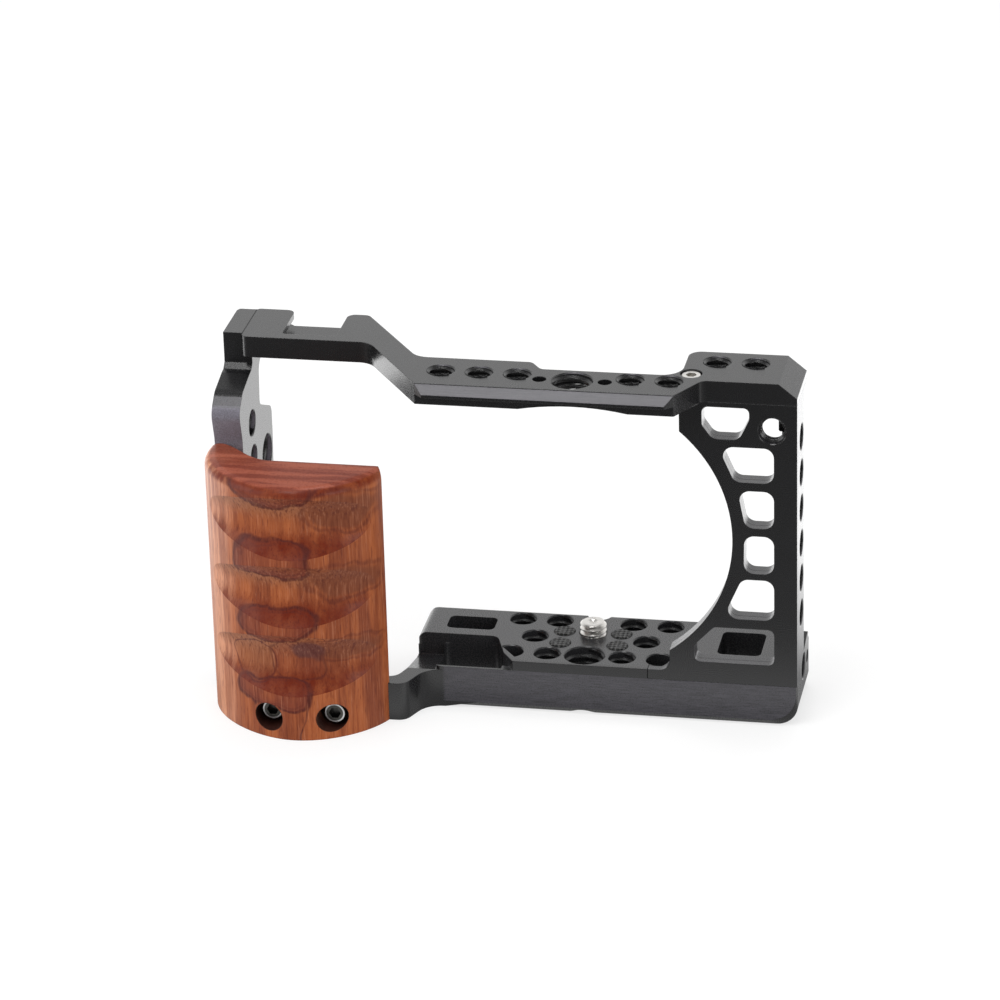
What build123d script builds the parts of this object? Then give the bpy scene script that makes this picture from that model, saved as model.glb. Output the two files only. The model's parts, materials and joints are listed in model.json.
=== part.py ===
from build123d import *
import math
import os

# Camera cage with a wooden side grip, in millimetres.
# The origin is on the axis of the camera screw, at the seat face of the base plate. +Z is up,
# the lens looks along -Y, the side panel stands at +X and the grip at -X.

# ---- Main sizes of the cage ----
bay_height = 69.2            # camera seat to the underside of the top bar
bar_thickness = 5.2          # top bar
base_height = 13.0           # camera seat to the underside of the base plate
right_end = 51.5             # camera screw axis to the outer face of the side panel
front_depth = 18.1           # camera screw axis to the front face of the cage
base_rear = 8.9              # camera screw axis to the rear edge of the base plate
base_left = -41.9            # left edge of the base plate
base_left_round = 2.4        # rounding of its upper left edge
hole_pitch = 9.0             # raster of the accessory holes
lens_x = 0.5                 # axis of the round lens cut-out
lens_z = 34.5
lens_radius = 35.85

# ---- Holes, screws and fits ----
quarter_bore = 3.175         # radius of a 1/4 inch accessory hole
three_eighth_bore = 4.76     # radius of a 3/8 inch accessory hole
pin_bore = 1.65              # radius of a locating-pin hole
lead_in = 0.25               # countersink at the mouth of every tapped hole
running_gap = 0.075          # radial clearance of the camera screw in its bore
screw_gap = 0.1              # radial clearance around a fastener or dowel
ring_gap = 0.05              # clearance around the retaining ring
seam = 0.15                  # visible gap between neighbouring castings
past = 1.0                   # how far a cutter reaches past a face

# ---- Roundings used all over the cage ----
fine_corner = 0.5
light_corner = 1.0
small_corner = 1.5
medium_corner = 2.5

# ---- Base plate ----
slab_thickness = 2.5         # upper layer, cut back at the front left and behind the panel
arm_height = 9.6             # underside to the top of the side arm
arm_front = -26.9            # front face of the side arm
arm_rear = -23.1
arm_root_x = -37.3           # where the front face bends forwards into the arm
arm_root_round = 6.0
arm_bend_x = -40.9           # where the arm turns to the left
arm_bend_rear_x = -43.7
arm_bend_round = 3.0
root_ledge_z = -5.8          # the arm's top slopes down to a ledge at the base plate
root_ledge_y = -7.5
arm_slant_x = -75.3          # where the arm's end block slants back
end_block_right = -73.0
end_block_rear = -9.7
end_block_slant_y = -19.1
bottom_corner = 5.0          # rounding of the lower right corner
front_chamfer = 1.4          # depth of the dark chamfer below the front face
front_chamfer_height = 1.5
front_chamfer_side = 0.3
chamfer_left_x = -33.0
chamfer_run_out = 8.0
slab_left_x = -19.4          # left end of the slab's front part
slab_corner_width = 3.0      # its cut corner
slab_corner_depth = 4.5
corner_rib_x = -20.3         # rib that closes the hole beside the cut corner
corner_rib_y = -10.6
corner_rib_width = 4.8
block_front = -5.2           # front face of the rear left block
bar_depth = 3.8              # front strip beside the battery door cut-out
bar_ledge = 0.8              # flat left on the strip's top, before its rear slopes down
bar_slope = 3.0
door_left_x = -35.3          # battery door cut-out
door_right_x = -22.3
door_corner = 1.5
left_slot = (-35.7, -24.0, -2.0, 4.7)      # x low, x high, y low, y high
strap_slot = (30.9, 41.4, -7.8, 4.4)
slot_corner = 1.5
notch_radius = 3.0           # alignment notch in the rear edge
notch_depth = 2.0
rear_corner = 6.0            # rounding of the rear right corner
rear_row_y = 5.3             # rows of accessory holes in the seat
middle_row_y = -3.7
front_row_y = -12.7
lug_height = 1.2             # lug that carries the side wall
lug_top = 3.0                # its top rises behind the wall
lug_corner = 0.8
lug_rear = 2.2
lug_hole_y = -6.3
lug_hole_z = -2.5
lug_hole_depth = 4.5
lug_pin_y = 0.5
lug_pin_z = -3.2
lug_pin_depth = 4.0

# ---- Anti-slip pads ----
pad_radius = 2.5
pad_thickness = 1.3
pad_proud = 0.3
pad_x = 6.9
pad_rows = (-0.3, -6.7)
pad_crown = 0.25

# ---- Camera screw ----
camera_thread = 3.175        # radius of the 1/4 inch camera thread
camera_screw_proud = 2.9     # above the seat when the screw hangs on its ring
camera_screw_lift = 2.2      # travel from the ring up to the seat of the washer
thread_relief_depth = 0.45   # groove between the screw's guide and its exposed thread
thread_relief_width = 0.7
camera_head_radius = 6.0
camera_head_height = 3.0
camera_head_gap = 0.5        # head to the wall of its pocket
washer_thickness = 1.0
washer_radius = 5.8
ring_thickness = 1.0
ring_inset = 0.4             # ring to the underside of the base plate
ring_groove = 0.6            # depth of the ring's groove
ring_width = 1.9
ring_opening = 5.0
coin_slot_width = 1.4
coin_slot_depth = 1.2
screw_tip_dish = 1.3         # radius of the dish in the screw's tip
screw_tip_point = 0.1        # radius of the dish's floor
camera_screw_chamfer = 0.5

# ---- Side panel ----
plate_thickness = 4.5        # front plate
wall_thickness = 5.0         # side wall
wall_depth = 12.2            # side wall, front to rear
haunch = 5.2                 # flare of the side wall under the top bar
haunch_edge = 0.6
toe_x = 15.9                 # left end of the panel's foot
toe_root_x = 21.3
toe_cove = 6.3
plate_left = 24.1            # left edge of the plate above and below the lens cut-out
window_margin = 5.4          # window edge to the outer face of the panel
window_corner = 2.4
# middle windows: sill height, head height, rim to the lens cut-out at sill and at head
middle_windows = ((49.4, 58.2, 3.5, 4.4),
                  (37.9, 47.3, 3.2, 3.4),
                  (26.3, 35.9, 3.5, 2.8),
                  (14.4, 24.7, 3.2, 3.4))
top_window_sill = 9.2        # below the top of the panel
top_window_head = 1.2        # below the top of the panel
top_window_left = 5.3        # from the left edge of the plate
top_window_width = 11.0
top_window_side = 2.8        # straight part of its right side
top_window_cut = 2.4         # width of its slanted lower corners
top_window_rise = 3.4
foot_window_left = 27.2
foot_window_cut = 4.7        # its cut upper left corner
foot_window_side = 4.3
foot_window_sill = 2.8
foot_window_head = 12.0
plate_hole_x = 5.8           # hole through the plate, from the outer face
plate_hole_z = 6.6           # and below the top of the panel
wall_hole_y = -10.2
wall_hole_count = 6
wall_hole_top = 10.9         # uppermost hole, below the top of the panel
boss_width = 5.2
boss_height = 9.2
boss_rear = -11.5

# ---- Top bar ----
block_left = 24.3
block_rear = -0.7
block_corner = 3.0
rail_root_round = 5.0        # concave corner between the rail and the block
block_corner_width = 4.3     # chamfer of the top right corner
block_corner_height = 3.5
rail_left = -35.8
rail_right = 24.4
rail_front = -27.7
rail_rear_left = -11.9
rail_rear_right = -15.8
rail_step_left = -11.1
rail_step_right = -8.4
rail_step_round = 1.8
rail_flare = 5.2             # slanted run from the rail to the block's front
arm_rear_x = -38.4           # diagonal arm where its rear meets the rail
lip_front = -29.65
lip_height = 0.7
lip_bevel = 2.1
relief_x = 1.0               # shallow arc under the rail, above the lens
relief_radius = 68.0
relief_depth = 1.2
centre_hole_y = -21.8
centre_pin_x = 7.62
rail_hole_y = -19.3
rail_hole_x = 13.15
rail_holes_left = 3
rail_holes_right = 2
block_hole_x = 31.46
block_hole_y = -6.4
shoe_front = -4.8
shoe_corner = 1.65
shoe_x = -66.4               # middle of the cold shoe
shoe_gap = 13.2              # between the shoe's lips
shoe_undercut = 18.7         # width under the lips
shoe_lip = 1.5
shoe_slot = 2.1              # height of the undercut
shoe_stop = -1.9             # front end of the shoe's gap
shoe_bay_y = 6.1             # the lips stand free from here to their rear ends
left_lip_rear = 13.0
right_lip_rear = 12.0
lip_corner = 2.0
right_lip_x = -54.8          # right side of the right lip at the rear
arm_front_x = -51.2          # diagonal arm where its front meets the shoe
arm_round = 5.0              # concave corners at both ends of the arm

# ---- Grip side plate ----
leg_outer = -87.0
leg_thickness = 6.8
leg_tongue = 4.7             # thickness left beside the end of the top bar
leg_front = -15.7
leg_head_front = -2.7        # head of the plate, beside the top bar
leg_head_rear = 13.3
leg_head_round = 2.5         # upright rounding of its rear outer corner
# side profile: y, z and rounding of each corner, down the front and up the rear
leg_front_profile = ((-2.7, 66.9, 0.4), (-4.2, 65.6, 0.4), (-5.8, 65.4, 3.0), (-13.4, 63.6, 4.5),
                     (-17.7, 59.8, 3.5), (-15.7, 52.6, 8.0))
leg_rear_profile = ((-4.5, -13.0, 2.0), (-3.0, 10.0, 8.0), (12.0, 27.0, 8.0), (13.4, 42.0, 10.0),
                    (13.4, 49.2, 3.0), (2.2, 54.2, 2.0), (3.1, 64.0, 3.5))
leg_hole_y = -5.7
leg_hole_top = 52.7
leg_hole_count = 5
leg_big_hole_y = 7.2
leg_big_hole_z = 39.3

# ---- Wooden grip ----
grip_height = 64.4           # from the underside of the base plate
grip_rear = -24.0
grip_front_points = ((-88.5, -17.5), (-86.6, -26.2), (-77.6, -36.3),
                     (-65.2, -40.7), (-53.6, -37.0), (-44.6, -26.4))
grip_tip_inset = 1.2         # sharp right edge of the grip
grip_overlap = 1.4           # grip past the outer face of the side plate
grip_rear_points = ((-72.5, -24.0), (-77.4, -21.7), (-81.0, -18.4), (-84.7, -15.7))
grip_top_round = 2.6
groove_radius = 11.5         # section of the finger grooves
groove_axis = (-65.2, -11.0)
groove_sweep = 26.6          # axis to the floor of a groove
groove_heights = (41.4, 24.0, 6.2)

# ---- Fasteners: shank radius, head radius, head height, hexagon radius ----
top_screw_size = (1.5, 2.5, 2.4, 1.3)
grip_screw_size = (1.5, 2.75, 3.0, 1.45)
base_screw_size = (1.0, 1.6, 1.6, 0.8)
leg_screw_size = (1.0, 1.9, 2.0, 0.9)
socket_share = 0.6           # depth of a hexagon socket over the head's height
top_screw_place = (26.5, -14.1)
top_screw_length = 10.0
top_screw_head_web = 2.5     # bar left below the head
grip_screw_xs = (-71.0, -56.0)
grip_screw_z = -7.7
grip_screw_seat = -32.6
grip_screw_pocket = 3.5      # radius of the pockets in the wood
grip_screw_end = 0.4         # screw end to the rear of the arm
base_screw_xs = (23.0, 34.0, 45.0)
base_screw_y = -15.0
base_screw_seat = -10.0
base_screw_grip = 4.2        # engagement above the base plate
top_leg_screw_ys = (1.0, 8.4)
bottom_leg_screw_zs = (-10.7, -5.7)
bottom_leg_screw_y = -12.7
leg_screw_web = 2.2          # plate left below the heads
leg_screw_grip = 4.8         # engagement in the bar and in the arm
panel_dowel_radius = 1.25
panel_dowel_ys = (-15.5, -9.0)
panel_dowel_half = 2.4
grip_dowel_radius = 1.5
grip_dowel_inset = 2.0       # axis to the outer face of the side plate
grip_dowel_z = 31.7
grip_dowel_half = 5.6

# ---- Values that follow from the sizes above ----
front = -front_depth
underside = -base_height
slab_low = -slab_thickness
arm_top = underside + arm_height
bar_top = bay_height + bar_thickness
panel_rear = front + plate_thickness
wall_rear = front + wall_depth
wall_inner = right_end - wall_thickness
panel_dowel_x = right_end - wall_thickness / 2
window_right = right_end - window_margin
leg_inner = leg_outer + leg_thickness
shoe_left = leg_outer + leg_tongue
bar_rear = front + bar_depth
grip_top = underside + grip_height
lip_top = bar_top - lip_bevel
lip_low = lip_top - lip_height
lip_edge = lip_front + lip_bevel
slot_floor = bar_top - shoe_lip - shoe_slot
ring_low = underside + ring_inset
head_low = ring_low + ring_thickness
head_top = head_low + camera_head_height
washer_top = head_top + washer_thickness
pocket_top = washer_top + camera_screw_lift
pocket_radius = camera_head_radius + camera_head_gap
dowel_x = leg_outer + grip_dowel_inset
wall_hole_z = bay_height - wall_hole_top


# ---- Small tools ----
def outline(*corners):
    """Closed face through (a, b, radius) corners; a radius never outgrows its two runs."""
    points = [Vector(a, b) for a, b, _ in corners]
    radii = []
    for i, (_, _, radius) in enumerate(corners):
        back = points[i - 1] - points[i]
        ahead = points[(i + 1) % len(points)] - points[i]
        half_turn = math.radians(180 - back.get_angle(ahead)) / 2
        room = 0.48 * min(back.length, ahead.length) / math.tan(half_turn)
        radii.append(min(radius, room))
    return make_face(FilletPolyline(*points, radius=radii, close=True))


def rectangle(a_low, a_high, b_low, b_high, radius=0.0):
    """Closed rectangle between two values on each axis."""
    return outline((a_low, b_low, radius), (a_high, b_low, radius),
                   (a_high, b_high, radius), (a_low, b_high, radius))


def upright(face, low, high):
    """Prism of a plan outline (x, y) from height low to height high."""
    return extrude(Plane.XY.offset(low) * face, amount=high - low)


def fore_aft(face, near, far):
    """Prism of a front outline (x, z) from y near to y far."""
    return extrude(Plane.XZ.offset(-far) * face, amount=far - near)


def sideways(face, left, right):
    """Prism of a side outline (y, z) from x left to x right."""
    return extrude(Plane.YZ.offset(left) * face, amount=right - left)


def turned(*points):
    """Solid of revolution about Z through (radius, height) points."""
    return revolve(Plane.XZ * make_face(Polyline(*points, close=True)), Axis.Z)


def towards_x(x, y, z):
    """Place that turns a part's +Z to +X."""
    return Pos(x, y, z) * Rot(0, 90, 0)


def towards_y(x, y, z):
    """Place that turns a part's +Z to +Y."""
    return Pos(x, y, z) * Rot(-90, 0, 0)


def rod(radius, length):
    """Cylinder from the origin up along Z."""
    return Cylinder(radius, length, align=(Align.CENTER, Align.CENTER, Align.MIN))


def tapped(radius, length, blind=False):
    """Cutter along +Z for a tapped hole with a lead-in at its mouths; a blind one opens at z = 0."""
    rim = radius + lead_in
    points = [(0, -past), (rim, -past), (rim, 0), (radius, lead_in)]
    if blind:
        points += [(radius, length), (0, length + radius / 2)]
    else:
        points += [(radius, length - lead_in), (rim, length), (rim, length + past), (0, length + past)]
    return turned(*points)


def counterbored(size, below, above):
    """Cutter for a socket screw: its seat at z = 0, hole down by below, pocket up by above."""
    shank, head, _, _ = size
    hole = Pos(0, 0, -below) * rod(shank + screw_gap, below + past)
    return hole + rod(head + screw_gap, above)


def socket_screw(size, length):
    """Socket head screw: its head stands on z = 0 and its shank points down."""
    shank, head, height, hexagon = size
    tip = shank / 4
    body = turned((0, -length), (shank - tip, -length), (shank, tip - length), (shank, 0),
                  (head, 0), (head, height - tip), (head - tip, height), (0, height))
    depth = height * socket_share
    socket = upright(RegularPolygon(hexagon, 6), height - depth, height + past)
    return body - socket


# ---- Base plate ----
def base_body():
    """Lower layer with the side arm, and the thin layer between the arm's top and the slab."""
    plan = outline((right_end, front, 0),
                   (arm_root_x, front, arm_root_round),
                   (arm_bend_x, arm_front, arm_bend_round),
                   (arm_slant_x, arm_front, light_corner),
                   (leg_inner, end_block_slant_y, fine_corner),
                   (leg_inner, end_block_rear, fine_corner),
                   (end_block_right, end_block_rear, small_corner),
                   (end_block_right, arm_rear, small_corner),
                   (arm_bend_rear_x, arm_rear, arm_bend_round),
                   (base_left, front, arm_bend_round),
                   (base_left, base_rear, small_corner),
                   (right_end, base_rear, rear_corner))
    upper = outline((right_end, front, 0),
                    (door_left_x, front, door_corner),
                    (door_left_x, block_front, 0),
                    (base_left, block_front, light_corner),
                    (base_left, base_rear, small_corner),
                    (right_end, base_rear, rear_corner))
    body = upright(plan, underside, arm_top) + upright(upper, arm_top, slab_low)
    door = outline((door_left_x, bar_rear, door_corner), (slab_left_x, bar_rear, door_corner),
                   (slab_left_x, front + slab_corner_depth, 0),
                   (door_right_x, block_front, door_corner), (door_left_x, block_front, door_corner))
    body -= upright(door, underside - past, slab_low + past)
    slope = make_face(Polyline((front + bar_ledge, slab_low), (bar_rear, slab_low - bar_slope),
                               (bar_rear + past, slab_low - bar_slope), (bar_rear + past, 0),
                               (front + bar_ledge, 0), close=True))
    root = make_face(Polyline((front, arm_top), (root_ledge_y, root_ledge_z),
                              (block_front, root_ledge_z), (block_front, 0), (front, 0),
                              close=True))
    body -= sideways(slope, door_left_x, slab_left_x)
    return body - sideways(root, base_left - past, door_left_x)


def base_slab():
    """Upper layer that carries the camera: stepped back for the battery door and the panel."""
    plan = outline((toe_x, front, 0),
                   (slab_left_x + slab_corner_width, front, fine_corner),
                   (slab_left_x, front + slab_corner_depth, small_corner),
                   (door_right_x, block_front, medium_corner),
                   (base_left, block_front, light_corner),
                   (base_left, base_rear, small_corner),
                   (right_end, base_rear, rear_corner),
                   (right_end, panel_rear + seam, 0),
                   (toe_x, panel_rear + seam, 0))
    return upright(plan, slab_low, 0)


def base_lug():
    """Lug at the right end, under the side wall."""
    side = outline((panel_rear + seam, slab_low, 0), (panel_rear + seam, lug_height, 0),
                   (wall_rear, lug_height, 0), (lug_rear, lug_top, lug_corner),
                   (lug_rear, slab_low, 0))
    return sideways(side, wall_inner, right_end)


def corner_and_chamfer(body):
    """Round the lower right corner and bevel the lower edge of the front face."""
    def section(inset, inset_low, radius):
        return outline((chamfer_left_x, underside + inset_low, 0),
                       (right_end - inset, underside + inset_low, radius),
                       (right_end - inset, lug_top + past, 0),
                       (chamfer_left_x, lug_top + past, 0))

    whole = outline((leg_outer, underside, 0), (right_end, underside, bottom_corner),
                    (right_end, lug_top + past, 0), (leg_outer, lug_top + past, 0))
    body = body & fore_aft(whole, arm_front - past, base_rear + past)
    outer = Plane.XZ.offset(front_depth - front_chamfer) * section(0, 0, bottom_corner)
    inner = Plane.XZ.offset(front_depth) * section(front_chamfer_side, front_chamfer_height,
                                                   bottom_corner + front_chamfer_height)
    bevelled = loft([outer, inner], ruled=True)
    layer = Pos(chamfer_left_x, front, underside) * Box(
        right_end - chamfer_left_x, front_chamfer, base_height + slab_low,
        align=(Align.MIN, Align.MIN, Align.MIN))
    run_out = make_face(Polyline((chamfer_left_x, underside),
                                 (chamfer_left_x + chamfer_run_out, underside + front_chamfer_height),
                                 (chamfer_left_x, underside + front_chamfer_height), close=True))
    return body - (layer - bevelled - fore_aft(run_out, front - past, front + front_chamfer))


def seat_holes(body):
    """Accessory holes, slots and the rear notch of the camera seat."""
    places = [(side * step * hole_pitch, rear_row_y) for side in (-1, 1) for step in (1, 2)]
    places += [(side * 1.5 * hole_pitch, middle_row_y) for side in (-1, 1)]
    places += [(step * hole_pitch, front_row_y) for step in (-2, -1, 1, 2)]
    for x, y in places:
        body -= Pos(x, y, underside) * tapped(quarter_bore, base_height)
    body -= Pos(0, front_row_y, underside) * tapped(three_eighth_bore, base_height)
    for slot in (left_slot, strap_slot):
        body -= upright(rectangle(*slot, slot_corner), underside - past, past)
    notch = Pos(0, base_rear + notch_radius - notch_depth, underside - past)
    return body - notch * rod(notch_radius, base_height + 2 * past)


def corner_rib():
    """Rib between the accessory hole at the slab's cut corner and the battery door cut-out."""
    plan = make_face(Polyline((corner_rib_x, corner_rib_y), (slab_left_x, front + slab_corner_depth),
                              (slab_left_x + slab_corner_width, front),
                              (slab_left_x + corner_rib_width, front), close=True))
    return upright(plan, underside + front_chamfer_height, 0)


def left_edge_round():
    """Cutter that rounds the upper left edge."""
    corner = rectangle(base_left - past, base_left + base_left_round, -base_left_round, past)
    axis = towards_y(base_left + base_left_round, block_front - past, -base_left_round)
    length = base_rear - block_front + 2 * past
    return fore_aft(corner, block_front - past, base_rear + past) - axis * rod(base_left_round, length)


def camera_screw_pocket():
    """Bore, head pocket and ring groove for the captive camera screw."""
    bore = camera_thread + running_gap
    groove = pocket_radius + ring_groove
    return turned((0, underside - past), (pocket_radius, underside - past),
                  (pocket_radius, ring_low - ring_gap), (groove, ring_low - ring_gap),
                  (groove, head_low), (pocket_radius, head_low),
                  (pocket_radius, pocket_top), (bore, pocket_top),
                  (bore, -lead_in), (bore + lead_in, 0), (bore + lead_in, past), (0, past))


def base_plate():
    body = corner_and_chamfer(base_body() + base_slab() + base_lug())
    body = seat_holes(body) + corner_rib() - left_edge_round() - camera_screw_pocket()
    for x in (-pad_x, pad_x):
        for y in pad_rows:
            body -= Pos(x, y, pad_proud - pad_thickness) * rod(pad_radius + screw_gap, past + pad_thickness)
    body -= towards_x(right_end, lug_hole_y, lug_hole_z) * Rot(180, 0, 0) * tapped(
        quarter_bore, lug_hole_depth, blind=True)
    body -= towards_x(right_end - lug_pin_depth, lug_pin_y, lug_pin_z) * rod(pin_bore, lug_pin_depth + past)
    for x in base_screw_xs:
        body -= Pos(x, base_screw_y, base_screw_seat) * Rot(180, 0, 0) * counterbored(
            base_screw_size, base_height, base_height)
    for x in grip_screw_xs:
        body -= towards_y(x, arm_front - past, grip_screw_z) * rod(
            grip_screw_size[0] + screw_gap, arm_rear - arm_front + 2 * past)
    for z in bottom_leg_screw_zs:
        body -= towards_x(leg_inner - past, bottom_leg_screw_y, z) * rod(
            leg_screw_size[0] + screw_gap, leg_screw_grip + 2 * past)
    return body


# ---- Camera screw and pads ----
def camera_screw():
    """Captive 1/4 inch screw with a slotted head below and a dished tip."""
    tip = camera_screw_proud
    chamfer = camera_screw_chamfer
    neck = camera_thread - thread_relief_depth
    body = turned((0, head_low), (camera_head_radius - chamfer, head_low),
                  (camera_head_radius, head_low + chamfer), (camera_head_radius, head_top),
                  (camera_thread, head_top), (camera_thread, -thread_relief_width),
                  (neck, -thread_relief_width), (neck, 0), (camera_thread, 0),
                  (camera_thread, tip - chamfer), (camera_thread - chamfer, tip), (0, tip))
    slot = Pos(0, 0, head_low) * Box(2 * camera_head_radius + past, coin_slot_width, 2 * coin_slot_depth)
    dish = Pos(0, 0, tip - screw_tip_dish / 2) * Cone(
        screw_tip_point, screw_tip_dish, screw_tip_dish, align=(Align.CENTER, Align.CENTER, Align.MIN))
    return body - slot - dish


def camera_screw_washer():
    hole = camera_thread + ring_gap
    return Pos(0, 0, head_top) * (rod(washer_radius, washer_thickness) - rod(hole, washer_thickness))


def camera_screw_retaining_ring():
    """Open spring ring in the groove of the head pocket."""
    outer = pocket_radius + ring_groove - ring_gap
    ring = Pos(0, 0, ring_low) * (rod(outer, ring_thickness) - rod(outer - ring_width, ring_thickness))
    opening = rectangle(-ring_opening / 2, ring_opening / 2, 0, outer + past)
    return ring - upright(opening, ring_low - past, head_low + past)


def anti_slip_pad(x, y):
    low = pad_proud - pad_thickness
    return Pos(x, y, low) * turned((0, 0), (pad_radius, 0), (pad_radius, pad_thickness - pad_crown),
                                   (pad_radius - pad_crown, pad_thickness), (0, pad_thickness))


# ---- Side panel ----
def rim_x(z, rim):
    """x at height z on a circle that runs outside the lens cut-out by rim."""
    return lens_x + math.sqrt((lens_radius + rim) ** 2 - (z - lens_z) ** 2)


def panel_windows():
    """Front outlines of the windows."""
    top = bay_height - top_window_head
    left = plate_left + top_window_left
    right = left + top_window_width
    sill = bay_height - top_window_sill
    faces = [outline((left, top, small_corner), (right, top, small_corner),
                     (right, top - top_window_side, small_corner),
                     (right - top_window_cut, sill, window_corner),
                     (left + top_window_cut, sill, window_corner),
                     (left, sill + top_window_rise, small_corner))]
    for sill, head, rim_sill, rim_head in middle_windows:
        faces.append(outline((rim_x(sill, rim_sill), sill, window_corner),
                             (window_right, sill, window_corner),
                             (window_right, head, window_corner),
                             (rim_x(head, rim_head), head, window_corner)))
    faces.append(outline((foot_window_left, foot_window_sill, small_corner),
                         (window_right, foot_window_sill, small_corner),
                         (window_right, foot_window_head, small_corner),
                         (foot_window_left + foot_window_cut, foot_window_head, small_corner),
                         (foot_window_left, foot_window_sill + foot_window_side, small_corner)))
    return faces


def side_panel():
    """Front plate with the lens cut-out and windows, side wall and screw boss."""
    foot_x = toe_x + seam
    plate = outline((foot_x, slab_low, 0), (right_end, slab_low, 0), (right_end, bay_height, 0),
                    (plate_left, bay_height, 0), (plate_left, lens_z, 0), (toe_root_x, lens_z, 0),
                    (toe_root_x, 0, toe_cove), (foot_x, 0, 0))
    panel = fore_aft(plate, front, panel_rear)
    wall = outline((front, lug_height, 0), (wall_rear, lug_height, 0),
                   (wall_rear, bay_height - haunch_edge, haunch),
                   (wall_rear + haunch, bay_height - haunch_edge, 0),
                   (wall_rear + haunch, bay_height, 0), (front, bay_height, 0))
    panel += sideways(wall, wall_inner, right_end)
    boss = outline((plate_left, front, 0), (plate_left + boss_width, front, 0),
                   (plate_left + boss_width, boss_rear, small_corner),
                   (plate_left, boss_rear, small_corner))
    panel += upright(boss, bay_height - boss_height, bay_height)
    panel -= towards_y(lens_x, front - past, lens_z) * rod(lens_radius, front_depth)
    for window in panel_windows():
        panel -= fore_aft(window, front - past, panel_rear + past)
    panel -= towards_y(right_end - plate_hole_x, front, bay_height - plate_hole_z) * tapped(
        quarter_bore, plate_thickness)
    for i in range(wall_hole_count):
        panel -= towards_x(wall_inner, wall_hole_y, wall_hole_z - i * hole_pitch) * tapped(
            quarter_bore, wall_thickness)
    panel -= Pos(2 * hole_pitch, front_row_y, slab_low - past) * rod(quarter_bore + lead_in, base_height)
    for x in base_screw_xs:
        panel -= Pos(x, base_screw_y, slab_low - past) * rod(
            base_screw_size[0] + screw_gap, base_screw_grip + past + screw_gap)
    x, y = top_screw_place
    panel -= Pos(x, y, bay_height - top_screw_length) * rod(
        top_screw_size[0] + screw_gap, top_screw_length + past)
    for y in panel_dowel_ys:
        panel -= panel_dowel_pocket(y)
    return panel


# ---- Dowels between the panel and the bar ----
def panel_dowel_pocket(y):
    depth = panel_dowel_half + screw_gap
    return Pos(panel_dowel_x, y, bay_height - depth) * rod(panel_dowel_radius + screw_gap, 2 * depth)


def panel_dowel(y):
    low = bay_height - panel_dowel_half
    return Pos(panel_dowel_x, y, low) * rod(panel_dowel_radius, 2 * panel_dowel_half)


# ---- Top bar ----
def bar_plan():
    """Plan of the block, the rail, the diagonal arm and the cold shoe."""
    return outline((rail_left, rail_front, 0),
                   (rail_right, rail_front, fine_corner),
                   (rail_right + rail_flare, front, medium_corner),
                   (right_end, front, 0),
                   (right_end, block_rear, 0),
                   (block_left, block_rear, block_corner),
                   (block_left, rail_rear_right, rail_root_round),
                   (rail_step_right, rail_rear_right, rail_step_round),
                   (rail_step_left, rail_rear_left, rail_step_round),
                   (arm_rear_x, rail_rear_left, arm_round),
                   (right_lip_x, right_lip_rear, lip_corner),
                   (shoe_x + shoe_gap / 2, right_lip_rear, lip_corner),
                   (shoe_x + shoe_gap / 2, shoe_bay_y, 0),
                   (shoe_x - shoe_gap / 2, shoe_bay_y, 0),
                   (shoe_x - shoe_gap / 2, left_lip_rear, lip_corner),
                   (shoe_left, left_lip_rear, light_corner),
                   (shoe_left, shoe_front, shoe_corner),
                   (arm_front_x, shoe_front, arm_round))


def rail_lip():
    """Bevelled front lip of the rail, mitred at both ends."""
    side = outline((lip_front, lip_low, 0), (lip_front, lip_top, 0), (lip_edge, bar_top, 0),
                   (rail_front + past, bar_top, 0), (rail_front + past, lip_low, 0))
    reach = rail_front - lip_front
    plan = make_face(Polyline((rail_left + reach, lip_front), (rail_right - reach, lip_front),
                              (rail_right, rail_front), (rail_right, rail_front + past),
                              (rail_left, rail_front + past), (rail_left, rail_front), close=True))
    return sideways(side, rail_left, rail_right) & upright(plan, bay_height, bar_top)


def cold_shoe_cut():
    """Floor-to-top slot between the lips and the wider undercut below them."""
    def slot(width, top):
        plan = outline((shoe_x - width / 2, shoe_stop, light_corner),
                       (shoe_x + width / 2, shoe_stop, light_corner),
                       (shoe_x + width / 2, left_lip_rear + past, 0),
                       (shoe_x - width / 2, left_lip_rear + past, 0))
        return upright(plan, slot_floor, top)

    return slot(shoe_gap, bar_top + past) + slot(shoe_undercut, bar_top - shoe_lip)


def shoe_floor():
    """Thin floor under the shoe, out to the rear edges of the lips."""
    return upright(outline((shoe_x - shoe_gap, 0, 0), (shoe_x + shoe_gap / 2 + past, 0, 0),
                           (shoe_x + shoe_gap / 2 + past, right_lip_rear, 0),
                           (shoe_x - shoe_gap, right_lip_rear, 0)), bay_height, slot_floor)


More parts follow.
